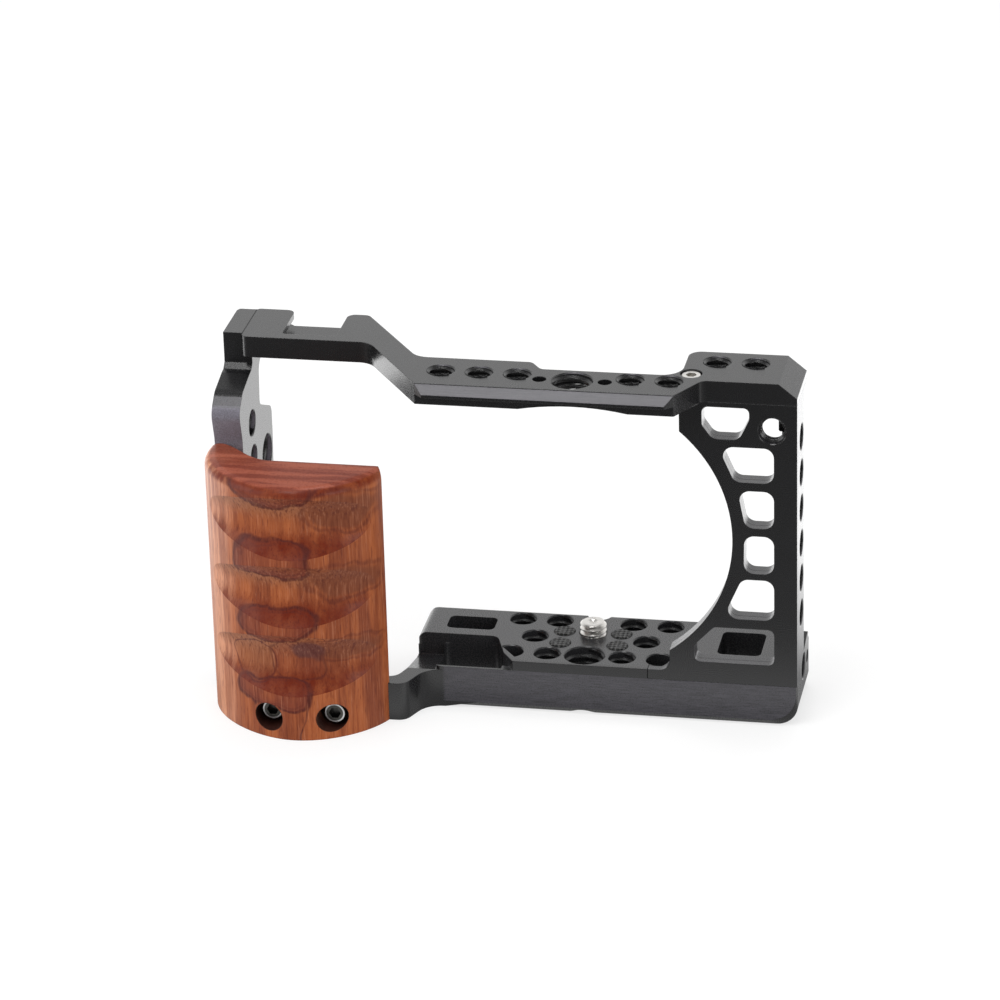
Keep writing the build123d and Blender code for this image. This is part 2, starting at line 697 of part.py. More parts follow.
def top_bar():
    """Block, rail, diagonal arm and cold shoe in one piece."""
    bar = upright(bar_plan(), bay_height, bar_top) + rail_lip()
    bar = bar + shoe_floor() - cold_shoe_cut()
    relief = towards_y(relief_x, rail_front - past, bay_height + relief_depth - relief_radius)
    bar -= relief * rod(relief_radius, rail_rear_left - rail_front + 2 * past)
    corner = make_face(Polyline((right_end - block_corner_width, bar_top), (right_end + past, bar_top),
                                (right_end + past, bar_top - block_corner_height),
                                (right_end, bar_top - block_corner_height), close=True))
    bar -= fore_aft(corner, front - past, past)
    bar -= Pos(0, centre_hole_y, bay_height) * tapped(three_eighth_bore, bar_thickness)
    for x in (-centre_pin_x, centre_pin_x):
        bar -= Pos(x, centre_hole_y, bay_height - past) * rod(pin_bore, bar_thickness + 2 * past)
    places = [(-rail_hole_x - i * hole_pitch, rail_hole_y) for i in range(rail_holes_left)]
    places += [(rail_hole_x + i * hole_pitch, rail_hole_y) for i in range(rail_holes_right)]
    places += [(block_hole_x + i * hole_pitch, block_hole_y) for i in range(2)]
    for x, y in places:
        bar -= Pos(x, y, bay_height) * tapped(quarter_bore, bar_thickness)
    x, y = top_screw_place
    bar -= Pos(x, y, bay_height + top_screw_head_web) * counterbored(
        top_screw_size, bar_thickness, bar_thickness)
    for y in panel_dowel_ys:
        bar -= panel_dowel_pocket(y)
    for y in top_leg_screw_ys:
        bar -= towards_x(shoe_left - past, y, bay_height + bar_thickness / 2) * rod(
            leg_screw_size[0] + screw_gap, leg_screw_grip + 2 * past)
    return bar


# ---- Grip side plate ----
def grip_side_plate():
    """Upright plate with a necked top that hooks behind the end of the top bar."""
    side = outline((leg_head_front, bar_top, 0), *leg_front_profile, (leg_front, underside, 0),
                   *leg_rear_profile, (leg_head_rear, bay_height, light_corner),
                   (leg_head_rear, bar_top, light_corner))
    plate = sideways(side, leg_outer, leg_inner)
    notch = rectangle(leg_head_front - past, leg_head_rear + past, bay_height, bar_top + past)
    plate -= sideways(notch, shoe_left, leg_inner + past)
    corner = rectangle(leg_outer - past, leg_outer + leg_head_round,
                       leg_head_rear - leg_head_round, leg_head_rear + past)
    axis = Pos(leg_outer + leg_head_round, leg_head_rear - leg_head_round, bay_height - leg_head_round)
    plate -= (upright(corner, bay_height - leg_head_round, bar_top + past)
              - axis * rod(leg_head_round, bar_top + past - bay_height + leg_head_round))
    for i in range(leg_hole_count):
        plate -= towards_x(leg_outer, leg_hole_y, leg_hole_top - i * hole_pitch) * tapped(
            quarter_bore, leg_inner - leg_outer)
    plate -= towards_x(leg_outer, leg_big_hole_y, leg_big_hole_z) * tapped(
        three_eighth_bore, leg_inner - leg_outer)
    for place in top_leg_screw_places() + bottom_leg_screw_places():
        plate -= place * Rot(180, 0, 0) * counterbored(leg_screw_size, leg_inner - leg_outer,
                                                       leg_inner - leg_outer)
    plate -= towards_y(dowel_x, leg_front - past, grip_dowel_z) * rod(
        grip_dowel_radius + screw_gap, grip_dowel_half + screw_gap + past)
    return plate


def top_leg_screw_places():
    """Seats of the screws into the end of the top bar."""
    z = bay_height + bar_thickness / 2
    return [towards_x(shoe_left - leg_screw_web, y, z) for y in top_leg_screw_ys]


def bottom_leg_screw_places():
    """Seats of the screws into the base plate's arm."""
    return [towards_x(leg_inner - leg_screw_web, bottom_leg_screw_y, z) for z in bottom_leg_screw_zs]


# ---- Wooden grip ----
def wooden_grip():
    """Prism with a rounded top, a seat for the arm and three finger grooves."""
    front_curve = Spline(*grip_front_points)
    rear_curve = Spline(*grip_rear_points)
    tip = (grip_front_points[-1][0] - grip_tip_inset, grip_rear)
    right = Polyline(front_curve @ 1, tip, rear_curve @ 0)
    left = Polyline(rear_curve @ 1, (leg_outer - grip_overlap, leg_front), front_curve @ 0)
    grip = upright(make_face(front_curve + right + rear_curve + left), underside, grip_top)
    groove_x, groove_y = groove_axis
    for z in groove_heights:
        grip -= Pos(groove_x, groove_y, z) * Torus(groove_sweep + groove_radius, groove_radius)
    rim = grip.edges().group_by(Axis.Z)[-1]
    grip = fillet(rim.sort_by(SortBy.LENGTH)[-1:], grip_top_round)
    seat = make_face(Polyline((door_left_x, arm_front), (arm_slant_x, arm_front),
                              (leg_inner, end_block_slant_y), (leg_inner, leg_front + past),
                              (door_left_x, leg_front + past), close=True))
    grip -= upright(seat, underside - past, arm_top)
    for x in grip_screw_xs:
        place = towards_y(x, grip_screw_seat, grip_screw_z) * Rot(180, 0, 0)
        grip -= place * rod(grip_screw_pocket, front_depth)
        grip -= place * Pos(0, 0, -front_depth) * rod(grip_screw_size[0] + screw_gap, front_depth + past)
    grip -= towards_y(dowel_x, leg_front - grip_dowel_half - screw_gap, grip_dowel_z) * rod(
        grip_dowel_radius + screw_gap, grip_dowel_half + screw_gap + past)
    return grip


# ---- All pieces ----
def pieces():
    made = {
        "base_plate": base_plate(),
        "side_panel": side_panel(),
        "top_bar": top_bar(),
        "grip_side_plate": grip_side_plate(),
        "wooden_grip": wooden_grip(),
        "camera_screw": camera_screw(),
        "camera_screw_washer": camera_screw_washer(),
        "camera_screw_retaining_ring": camera_screw_retaining_ring(),
    }
    pads = [(x, y) for y in pad_rows for x in (-pad_x, pad_x)]
    for i, (x, y) in enumerate(pads, 1):
        made[f"anti_slip_pad_{i}"] = anti_slip_pad(x, y)
    x, y = top_screw_place
    made["top_screw"] = Pos(x, y, bay_height + top_screw_head_web) * socket_screw(
        top_screw_size, top_screw_length)
    grip_screw_length = arm_rear - grip_screw_seat - grip_screw_end
    for i, x in enumerate(grip_screw_xs, 1):
        place = towards_y(x, grip_screw_seat, grip_screw_z) * Rot(180, 0, 0)
        made[f"grip_screw_{i}"] = place * socket_screw(grip_screw_size, grip_screw_length)
    base_screw_length = slab_low + base_screw_grip - base_screw_seat
    for i, x in enumerate(base_screw_xs, 1):
        place = Pos(x, base_screw_y, base_screw_seat) * Rot(180, 0, 0)
        made[f"base_panel_screw_{i}"] = place * socket_screw(base_screw_size, base_screw_length)
    leg_screw_length = leg_screw_web + leg_screw_grip
    leg_screw = Rot(180, 0, 0) * socket_screw(leg_screw_size, leg_screw_length)
    for i, place in enumerate(top_leg_screw_places(), 1):
        made[f"top_leg_screw_{i}"] = place * leg_screw
    for i, place in enumerate(bottom_leg_screw_places(), 1):
        made[f"bottom_leg_screw_{i}"] = place * leg_screw
    for i, y in enumerate(panel_dowel_ys, 1):
        made[f"panel_dowel_{i}"] = panel_dowel(y)
    made["grip_dowel"] = towards_y(dowel_x, leg_front - grip_dowel_half, grip_dowel_z) * rod(
        grip_dowel_radius, 2 * grip_dowel_half)
    return made


os.makedirs("parts", exist_ok=True)
for name, shape in pieces().items():
    export_step(Part(label=name) + shape, f"parts/{name}.step")
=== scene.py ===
"""Looks of the camera cage: materials, thread ridges, the camera screw, light and camera."""

import json
import math

import bmesh
import bpy
from mathutils import Matrix, Vector


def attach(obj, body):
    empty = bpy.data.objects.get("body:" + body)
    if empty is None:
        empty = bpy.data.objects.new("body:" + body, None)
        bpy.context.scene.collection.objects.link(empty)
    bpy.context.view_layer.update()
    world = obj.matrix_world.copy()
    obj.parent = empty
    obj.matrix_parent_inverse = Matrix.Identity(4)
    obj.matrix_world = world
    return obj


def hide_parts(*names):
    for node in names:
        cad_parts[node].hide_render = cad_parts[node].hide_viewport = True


MM = 0.001
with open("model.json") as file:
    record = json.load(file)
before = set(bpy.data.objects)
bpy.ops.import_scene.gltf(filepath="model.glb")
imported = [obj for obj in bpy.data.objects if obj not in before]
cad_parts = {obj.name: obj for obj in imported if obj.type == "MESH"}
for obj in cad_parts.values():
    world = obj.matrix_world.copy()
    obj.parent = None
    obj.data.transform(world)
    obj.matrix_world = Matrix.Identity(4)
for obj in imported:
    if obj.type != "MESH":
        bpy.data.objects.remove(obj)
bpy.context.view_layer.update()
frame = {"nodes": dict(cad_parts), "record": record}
nodes = frame["nodes"]
mounts = frame["record"]["mounts"]

# ---- Sizes in millimetres, in the frame of the CAD model ----
FRONT_Y = -18.1          # front plane of the base plate and the side panel
FLOOR_Z = -13.0          # the cage stands here
STRIP_TOP = -2.5         # machined strip on the base plate's front
STRIP_LOW = -11.5
STRIP_LEFT = -33.0
WINDOW_STEP = 2.0        # hairline step inside the windows, behind the front plane
QUARTER_PITCH = 25.4 / 20
THREE_EIGHTH_PITCH = 25.4 / 16
QUARTER_RADIUS_LIMIT = 4.0   # a tapped hole with a smaller radius is a quarter-inch one
RIDGE_DEPTH = 0.46       # of the pitch
RIDGE_FOOT = 0.41        # half width of a ridge at its foot and at its crest, of the pitch
RIDGE_CREST = 0.09
RIDGE_BURIED = 0.03      # depth of a ridge's foot in the wall
RIDGE_START = 0.02       # depth at its two ends, of its full depth
STEPS = 44               # sections in one turn of a ridge
FADE = STEPS / 3         # sections over which a ridge rises at each end


# ---- Shader helpers ----
class Nodes:
    """Builds a node tree."""

    def __init__(self, tree):
        self.tree = tree
        tree.nodes.clear()

    def node(self, kind, inputs=(), **settings):
        made = self.tree.nodes.new(kind)
        for key, value in settings.items():
            setattr(made, key, value)
        for key, value in dict(inputs).items():
            self.feed(made.inputs[key], value)
        return made

    def feed(self, socket, value):
        if isinstance(value, bpy.types.NodeSocket):
            self.tree.links.new(value, socket)
        else:
            socket.default_value = value

    def math(self, operation, a, b=0.0, c=0.0):
        made = self.node("ShaderNodeMath", operation=operation)
        for socket, value in zip(made.inputs, (a, b, c)):
            self.feed(socket, value)
        return made.outputs[0]

    def times(self, first, *others):
        for other in others:
            first = self.math("MULTIPLY", first, other)
        return first

    def most(self, first, *others):
        for other in others:
            first = self.math("MAXIMUM", first, other)
        return first

    def off(self, value, middle):
        """Distance of a value from another."""
        return self.math("ABSOLUTE", self.math("SUBTRACT", value, middle))

    def level(self, value, low, high, to_low, to_high, kind="LINEAR"):
        """Maps a value between two limits to another range, and holds it beyond them."""
        made = self.node("ShaderNodeMapRange", interpolation_type=kind)
        for key, given in zip(("Value", "From Min", "From Max", "To Min", "To Max"),
                              (value, low, high, to_low, to_high)):
            self.feed(made.inputs[key], given)
        return made.outputs[0]

    def axis(self, vector, name):
        return self.node("ShaderNodeSeparateXYZ", {"Vector": vector}).outputs[name]

    def mix(self, share, first, second, blend="MIX"):
        made = self.node("ShaderNodeMix", data_type="RGBA", blend_type=blend)
        for socket, value in zip((made.inputs["Factor"], made.inputs[6], made.inputs[7]),
                                 (share, first, second)):
            self.feed(socket, value)
        return made.outputs[2]

    def choose(self, share, first, second):
        """Mix of two shaders."""
        return self.node("ShaderNodeMixShader", {0: share, 1: first, 2: second}).outputs[0]

    def seen_directly(self):
        """1 for camera, glossy and transmission rays."""
        path = self.node("ShaderNodeLightPath")
        rays = ("Is Camera Ray", "Is Glossy Ray", "Is Transmission Ray")
        return self.most(*(path.outputs[key] for key in rays))


class Shader(Nodes):
    """Builds the node tree of a new material."""

    def __init__(self, name):
        self.material = bpy.data.materials.new(name)
        self.material.use_nodes = True
        super().__init__(self.material.node_tree)
        self.place = self.node("ShaderNodeTexCoord").outputs["Object"]

    def ramp(self, value, low, high, to_low=0.0, to_high=1.0):
        """Smooth step of a value between two limits."""
        return self.level(value, low, high, to_low, to_high, "SMOOTHSTEP")

    def mm(self, name):
        """One object coordinate in millimetres."""
        return self.times(self.axis(self.place, name), 1 / MM)

    def stretched(self, x, y, z, shift=(0, 0, 0)):
        """Object coordinates times a factor on each axis."""
        return self.node("ShaderNodeMapping", {"Vector": self.place, "Location": shift,
                                               "Scale": (x, y, z)}).outputs[0]

    def noise(self, vector, detail=3.0, roughness=0.5):
        return self.node("ShaderNodeTexNoise", {"Vector": vector, "Scale": 1.0, "Detail": detail,
                                                "Roughness": roughness}).outputs["Fac"]

    def soft_edge(self, radius):
        """Normal that rounds the hard edges of a machined piece."""
        return self.node("ShaderNodeBevel", {"Radius": radius * MM}, samples=6).outputs[0]

    def bump(self, height, distance, strength=1.0, normal=None):
        made = self.node("ShaderNodeBump", {"Height": height, "Distance": distance * MM,
                                            "Strength": strength})
        if normal is not None:
            self.feed(made.inputs["Normal"], normal)
        return made.outputs[0]

    def close(self, surface):
        """Ends the tree with a surface."""
        self.node("ShaderNodeOutputMaterial", {"Surface": surface})
        return self.material

    def finish(self, **sockets):
        """Principled surface from its sockets; spaces in socket names are written as underscores."""
        inputs = {key.replace("_", " "): value for key, value in sockets.items()}
        return self.close(self.node("ShaderNodeBsdfPrincipled", inputs).outputs[0])


def grey(value, tint=(1.0, 1.0, 1.0)):
    """Colour of one brightness, with a tint."""
    return tuple(value * t for t in tint) + (1.0,)


# ---- Anodised aluminium ----
PURPLE = (1.0, 0.95, 1.14)
ALUMINA_IOR = 1.6
SEAM_X = -82.3           # joint of the top bar and the grip side plate
SEAM_FOOT = 69.2
BLACK = (1.0, 1.0, 1.08)             # tint of the plain anodised faces
GRAIN = (4200, 4200, 4200)           # scales of the blasted grain, the mottle and the fine scratches
MOTTLE = (90, 90, 90)
SCRATCHES = (3500, 3500, 3500)
RECESS_START = 0.6                   # faces behind the front plane lighten between these depths
RECESS_END = 1.6
SEAM_SHINE = -0.45                   # change of the specular level in a seam
BEVEL_NORMAL = (0.0, -0.7071, 0.7071)
LEG_TOP = 64.0                       # top of the milled front of the grip side plate


def anodised(name, milled=None, mill_light=0.06, mill_dark=0.03, mill_rough=0.04, seam=None,
             stroke=(160, 9000, 9000), recess=0.0):
    """Blasted black anodised aluminium; milled(shader, normal) masks the machined faces."""
    s = Shader(name)
    grain = s.noise(s.stretched(*GRAIN), 2, 0.6)
    mottle = s.noise(s.stretched(*MOTTLE), 3, 0.5)
    colour = s.mix(mottle, grey(0.0060, BLACK), grey(0.0100, BLACK))
    if recess:
        behind = s.ramp(s.mm("Y"), FRONT_Y + RECESS_START, FRONT_Y + RECESS_END)
        colour = s.mix(behind, colour, grey(recess, BLACK))
    colour = s.mix(s.ramp(grain, 0.60, 0.80), colour, grey(0.022, PURPLE))
    rough = s.ramp(grain, 0.2, 0.8, 0.20, 0.33)
    height = grain
    if milled:
        mask = milled(s, s.node("ShaderNodeNewGeometry").outputs["True Normal"])
        streaks = s.math("MULTIPLY_ADD", s.noise(s.stretched(*stroke), 2, 0.7), 0.7,
                         s.times(s.noise(s.stretched(*SCRATCHES), 2, 0.6), 0.3))
        light = s.mix(s.ramp(streaks, 0.3, 0.7), grey(mill_dark, PURPLE), grey(mill_light, PURPLE))
        colour = s.mix(mask, colour, light)
        rough = s.math("MULTIPLY_ADD", mask, mill_rough, rough)
        height = s.mix(mask, height, streaks)
    normal = s.bump(height, 0.013, 0.5, s.soft_edge(0.24))
    shine = 0.5
    if seam:
        line = seam(s)
        colour = s.mix(line, colour, grey(0.001))
        shine = s.math("MULTIPLY_ADD", line, SEAM_SHINE, shine)
    return s.finish(Base_Color=colour, Roughness=rough, Normal=normal, IOR=ALUMINA_IOR,
                    Specular_IOR_Level=shine)


def window_step(s):
    """Hairline step inside the windows of the side panel."""
    off = s.off(s.mm("Y"), FRONT_Y + WINDOW_STEP)
    return s.ramp(off, 0.14, 0.05)


def end_seam(s):
    """Joint between the end of the top bar and the grip side plate."""
    off = s.off(s.mm("X"), SEAM_X)
    return s.times(s.ramp(off, 0.22, 0.06), s.ramp(s.mm("Z"), SEAM_FOOT - 0.1, SEAM_FOOT))


def bar_milled(s, normal):
    """The rail's front bevel."""
    along = s.node("ShaderNodeVectorMath", {0: normal, 1: BEVEL_NORMAL},
                   operation="DOT_PRODUCT").outputs["Value"]
    return s.ramp(along, 0.93, 0.97)


def strip_milled(s, normal):
    """The strip along the front of the base plate."""
    return s.times(s.ramp(s.axis(normal, "Y"), -0.9, -0.97),
                   s.ramp(s.mm("Z"), STRIP_TOP, STRIP_TOP - 0.05),
                   s.ramp(s.mm("Z"), STRIP_LOW - 0.05, STRIP_LOW),
                   s.ramp(s.mm("X"), STRIP_LEFT - 0.7, STRIP_LEFT + 0.3),
                   s.ramp(s.mm("Y"), FRONT_Y + 0.4, FRONT_Y + 0.1))


def side_milled(s, normal):
    """Every face of the side panel that isn't parallel to its front."""
    return s.times(0.6, s.ramp(s.math("ABSOLUTE", s.axis(normal, "Y")), 0.7, 0.4))


def leg_milled(s, normal):
    """The front of the grip side plate above the wood."""
    return s.times(s.ramp(s.axis(normal, "Y"), -0.60, -0.80), s.ramp(s.mm("Z"), LEG_TOP, LEG_TOP - 1))


# ---- Wood ----
WOOD_ORANGE = (0.38, 0.104, 0.032, 1.0)
WOOD_RED = (0.23, 0.054, 0.019, 1.0)
WOOD_TAN = (0.30, 0.108, 0.048, 1.0)
WOOD_BROWN = (0.185, 0.050, 0.021, 1.0)
WOOD_DEEP_SHADE = (0.135, 0.012, 0.001, 1.0)
WOOD_LINE = (0.085, 0.014, 0.010, 1.0)
WOOD_PALE = (0.64, 0.29, 0.165, 1.0)
WOOD_PATCH = (0.19, 0.040, 0.020, 1.0)
WOOD_KNOT = (0.12, 0.038, 0.031, 1.0)
WOOD_TOP = (0.34, 0.088, 0.050, 1.0)
WOOD_TOP_DARK = (0.20, 0.040, 0.022, 1.0)
FIBRE_SHADE = (0.55, 0.40, 0.36, 1.0)
# patches of the figure on the front: x and z of the middle, half width, half height
TONGUES = ((-68.5, 51.4, 10.6, 4.9), (-69.0, 32.6, 9.7, 4.9), (-67.6, 16.2, 9.4, 4.4),
           (-69.6, -1.4, 8.4, 3.9))
SHADES = ((-53.4, 44.4, 8.8, 4.9), (-53.4, 27.0, 8.8, 4.7), (-52.5, 9.6, 7.5, 3.2))
ROUNDNESS = 2.3          # 2 makes a patch an ellipse, more makes it squarer
EYE = (-74.2, 6.2, 5.4, 4.9)
KNOT = (-61.0, 9.2, 4.4, 2.4)
KNOT_HALO = (-64.2, 7.0, 6.0, 5.0)
LOW_LINE_X = -61.7       # dark line below the lowest groove, and where it begins
LOW_LINE_Z = (-1.0, -2.5)
PALE_X = (-77.5, -83.0)  # the wood gets paler to the left between these: stripes of the figure, lightened further as a painted highlight at that end
TAN_REFLECTION_X = (-57.0, -63.0)   # and tanner between these on faces that look down: a painted reflection of the floor
FRONT_Y_LIMIT = -26.0    # the figure ends where the grip turns to the back
POCKETS_X = -63.5        # middle between the two screw pockets, and half their distance
POCKETS_HALF = 7.5
POCKETS_Z = -7.7
POCKET_RADIUS = 3.5


def reach_of(s, a, b):
    """Length of a vector from its two parts."""
    return s.math("SQRT", s.math("MULTIPLY_ADD", a, a, s.times(b, b)))


def patch(s, x, z, shape):
    """Field of a rounded patch: 1 on its outline, 0 in its middle."""
    middle_x, middle_z, half_x, half_z = shape
    across = s.math("DIVIDE", s.math("SUBTRACT", x, middle_x), half_x)
    upward = s.math("DIVIDE", s.math("SUBTRACT", z, middle_z), half_z)
    parts = [s.math("POWER", s.math("ABSOLUTE", part), ROUNDNESS) for part in (across, upward)]
    return s.math("POWER", s.math("ADD", *parts), 1 / ROUNDNESS)


def patches(s, x, z, shapes):
    """Field of the nearest of several patches."""
    field = patch(s, x, z, shapes[0])
    for shape in shapes[1:]:
        field = s.math("MINIMUM", field, patch(s, x, z, shape))
    return field


def contour(s, field, value, width):
    """1 where a field has a value, 0 further than a width from it."""
    return s.ramp(s.off(field, value), width, width * 0.15)


def pocket_reach(s):
    """Distance in mm from the axis of the nearer screw pocket."""
    across = s.math("SUBTRACT", s.off(s.mm("X"), POCKETS_X), POCKETS_HALF)
    return reach_of(s, across, s.math("SUBTRACT", s.mm("Z"), POCKETS_Z))


def wood():
    """Oiled hardwood: fibres stand upright, and darker figure lies round the finger grooves. Groove walls
    that look down get a painted reflection of the floor, and those that look up get painted shade.
    """
    s = Shader("wood_oiled")
    x, y, z = s.mm("X"), s.mm("Y"), s.mm("Z")
    ripple = s.noise(s.stretched(620, 620, 240), 2, 0.5)
    bend_x = s.noise(s.stretched(120, 120, 90, (3.1, 1.7, 0.4)), 2, 0.45)
    bend_z = s.noise(s.stretched(110, 110, 120, (0.9, 4.2, 2.3)), 2, 0.45)
    figure_x = s.math("MULTIPLY_ADD", s.math("SUBTRACT", bend_x, 0.5), 9.0, x)
    figure_z = s.math("MULTIPLY_ADD", s.math("SUBTRACT", bend_z, 0.5), 6.0, z)
    figure_z = s.math("MULTIPLY_ADD", s.math("SUBTRACT", ripple, 0.5), 0.9, figure_z)
    tongue = patches(s, figure_x, figure_z, TONGUES)
    shade = patches(s, figure_x, figure_z, SHADES)
    eye = patch(s, figure_x, figure_z, EYE)
    knot = patch(s, figure_x, figure_z, KNOT)
    halo = patch(s, figure_x, figure_z, KNOT_HALO)

    facing = s.axis(s.node("ShaderNodeNewGeometry").outputs["Normal"], "Z")
    top = s.ramp(facing, 0.72, 0.92)
    up = s.ramp(facing, 0.02, 0.42)
    down = s.ramp(facing, 0.0, -0.4)
    front = s.ramp(y, FRONT_Y_LIMIT, FRONT_Y_LIMIT - 3)
    figured = s.times(front, s.ramp(facing, 0.92, 0.72))
    left = s.ramp(x, *PALE_X)

    broad = s.noise(s.stretched(260, 260, 20, (0.5, 0.9, 0.0)), 3, 0.55)
    colour = s.mix(s.ramp(broad, 0.36, 0.62), WOOD_RED, WOOD_ORANGE)
    # paler stripes of the figure to the left, lightened further there as a painted highlight
    stripes = s.noise(s.stretched(430, 430, 14, (0.3, 0.1, 0.0)), 3, 0.55)
    colour = s.mix(s.times(left, s.ramp(stripes, 0.38, 0.62, 0.25, 0.95)), colour, WOOD_PALE)
    # painted reflection: faces that look down, more at the left, are painted light brown for the white
    # floor they mirror
    tan_reflection = s.times(down, s.ramp(x, *TAN_REFLECTION_X, 0.35, 0.9), front)
    colour = s.mix(tan_reflection, colour, WOOD_TAN)
    colour = s.mix(s.times(s.ramp(shade, 1.0, 0.7), figured, 0.9), colour, WOOD_BROWN)
    inside = s.times(s.ramp(tongue, 1.0, 0.93), figured)
    colour = s.mix(s.times(inside, s.ramp(tongue, 0.2, 0.95, 0.55, 0.9)), colour, WOOD_PATCH)
    colour = s.mix(s.times(s.ramp(halo, 1.0, 0.8), figured, 0.45), colour, WOOD_PATCH)
    colour = s.mix(s.times(s.ramp(eye, 1.0, 0.85), figured, 0.6), colour, WOOD_TAN)
    # groove walls that look up are painted deep red: darker cut grain, deepened further as painted shade
    shaded_up_walls = s.times(up, front, s.ramp(stripes, 0.30, 0.62, 0.95, 0.55))
    colour = s.mix(shaded_up_walls, colour, WOOD_DEEP_SHADE)
    rings = s.noise(s.stretched(45, 420, 45, (0.2, 0.7, 0.0)), 4, 0.6)
    end_grain = s.mix(s.ramp(rings, 0.40, 0.60), WOOD_TOP_DARK, WOOD_TOP)
    colour = s.mix(s.times(top, 0.9), colour, end_grain)
    colour = s.mix(s.times(s.ramp(knot, 1.05, 0.6), figured, 0.9), colour, WOOD_KNOT)

    lines = contour(s, tongue, 1.0, 0.13)
    for field, value, width, share in ((tongue, 0.82, 0.08, 0.35), (shade, 1.0, 0.14, 0.5),
                                       (eye, 1.0, 0.09, 0.8), (halo, 1.0, 0.09, 0.6)):
        lines = s.most(lines, s.times(contour(s, field, value, width), share))
    low = s.ramp(s.off(figure_x, LOW_LINE_X), 0.5, 0.1)
    lines = s.most(lines, s.times(low, s.ramp(z, *LOW_LINE_Z)))
    lines = s.times(lines, figured, s.ramp(ripple, 0.3, 0.55, 0.5, 0.9))
    colour = s.mix(lines, colour, WOOD_LINE)

    fibre = s.noise(s.stretched(2300, 2300, 110), 3, 0.65)
    colour = s.mix(s.ramp(fibre, 0.5, 0.72, 0.0, 0.7), colour, FIBRE_SHADE, "MULTIPLY")
    worn = s.times(s.ramp(fibre, 0.48, 0.28, 0.0, 0.22), s.math("SUBTRACT", 1.0, up))
    colour = s.mix(worn, colour, WOOD_PALE)
    dashes = s.noise(s.stretched(1500, 1500, 210, (0.2, 0.6, 0.1)), 2, 0.5)
    dashes = s.times(s.ramp(dashes, 0.56, 0.68), s.math("MULTIPLY_ADD", down, 0.5, 0.15))
    colour = s.mix(dashes, colour, WOOD_LINE)
    pores = s.noise(s.stretched(3000, 3000, 330, (0.7, 0.2, 0.9)), 1, 0.4)
    pore = s.ramp(pores, 0.62, 0.72)
    colour = s.mix(s.times(pore, 0.4), colour, WOOD_LINE)
    hollow = s.ramp(pocket_reach(s), POCKET_RADIUS + 0.12, POCKET_RADIUS + 0.04)
    colour = s.mix(s.times(hollow, 0.85), colour, grey(0.006))
    height = s.math("SUBTRACT", s.times(fibre, 0.4), pore)
    normal = s.bump(height, 0.02, 0.25, s.soft_edge(0.4))
    rough = s.ramp(fibre, 0.2, 0.8, 0.42, 0.52)
    return s.finish(Base_Color=colour, Roughness=rough, Normal=normal, Specular_IOR_Level=0.16,
                    Coat_Weight=0.10, Coat_Roughness=0.16)


# ---- Metals, rubber and nylon ----
STEEL_EDGE = 0.08        # radius of the soft edges of steel
HIGHLIGHT_RIM_LOW = 1.95           # painted highlight: a bright rim on the heads of the screws in the wood
HIGHLIGHT_RIM_HIGH = 2.35
KNURL_PITCH = 2.1        # of the pads' knurl, along x and y


def steel(name, light, dark, roughness):
    """Turned steel with faint rings and scuffs."""
    s = Shader(name)
    scuffs = s.noise(s.stretched(700, 700, 2600), 3, 0.6)
    rings = s.noise(s.stretched(900, 900, 4500), 1, 0.5)
    colour = s.mix(scuffs, dark, light)
    rough = s.ramp(scuffs, 0.3, 0.7, roughness * 0.75, roughness * 1.25)
    normal = s.bump(rings, 0.01, 0.4, s.soft_edge(STEEL_EDGE))
    return s.finish(Base_Color=colour, Metallic=1.0, Roughness=rough, Normal=normal)


def pocket_steel_painted_light():
    """Screws deep in the wood's pockets: a painted highlight at the rim of each head, round a face
    darkened as painted shade.
    """
    s = Shader("stainless_pocket_painted_light")
    reach = pocket_reach(s)
    # painted highlight: the bright rim at the edge of each head
    rim_highlight = s.times(s.ramp(reach, HIGHLIGHT_RIM_LOW, HIGHLIGHT_RIM_LOW + 0.2), s.ramp(reach, HIGHLIGHT_RIM_HIGH + 0.2, HIGHLIGHT_RIM_HIGH))
    scuffs = s.noise(s.stretched(900, 900, 900), 3, 0.6)
    # painted shade: the head's face is darkened where the pocket shades it
    face = s.mix(scuffs, grey(0.05, (1.0, 0.98, 0.9)), grey(0.13, (1.0, 0.98, 0.9)))
    return s.finish(Base_Color=s.mix(rim_highlight, face, grey(0.8)), Metallic=1.0, Roughness=0.34,
                    Normal=s.bump(scuffs, 0.01, 0.3, s.soft_edge(STEEL_EDGE)))


def rubber():
    """Rubber pad with a worn knurl."""
    s = Shader("pad_rubber")
    turns = 2 * math.pi / KNURL_PITCH
    waves = [s.math("SINE", s.times(s.math(op, s.mm("X"), s.mm("Y")), turns))
             for op in ("ADD", "SUBTRACT")]
    knurl = s.times(waves[0], waves[1])
    dust = s.noise(s.stretched(1300, 1300, 1300), 3, 0.6)
    colour = s.mix(s.ramp(knurl, -0.25, 0.35), grey(0.004), grey(0.10))
    colour = s.mix(s.ramp(dust, 0.52, 0.70, 0.0, 0.6), colour, grey(0.17))
    normal = s.bump(knurl, 0.3, 1.0)
    return s.finish(Base_Color=colour, Roughness=0.62, Normal=normal, Specular_IOR_Level=0.4)


def nylon():
    """Cloudy white nylon."""
    s = Shader("washer_nylon")
    cloud = s.noise(s.stretched(600, 600, 600), 3, 0.5)
    colour = s.mix(cloud, grey(0.62, (1.0, 0.98, 0.93)), grey(0.74, (1.0, 0.98, 0.94)))
    return s.finish(Base_Color=colour, Roughness=0.45, Normal=s.bump(cloud, 0.02, 0.3, s.soft_edge(0.1)))


def dress(node, material):
    """Gives a CAD node one material on all its slots."""
    data = nodes[node].data
    if not data.materials:
        data.materials.append(material)
    for i in range(len(data.materials)):
        data.materials[i] = material


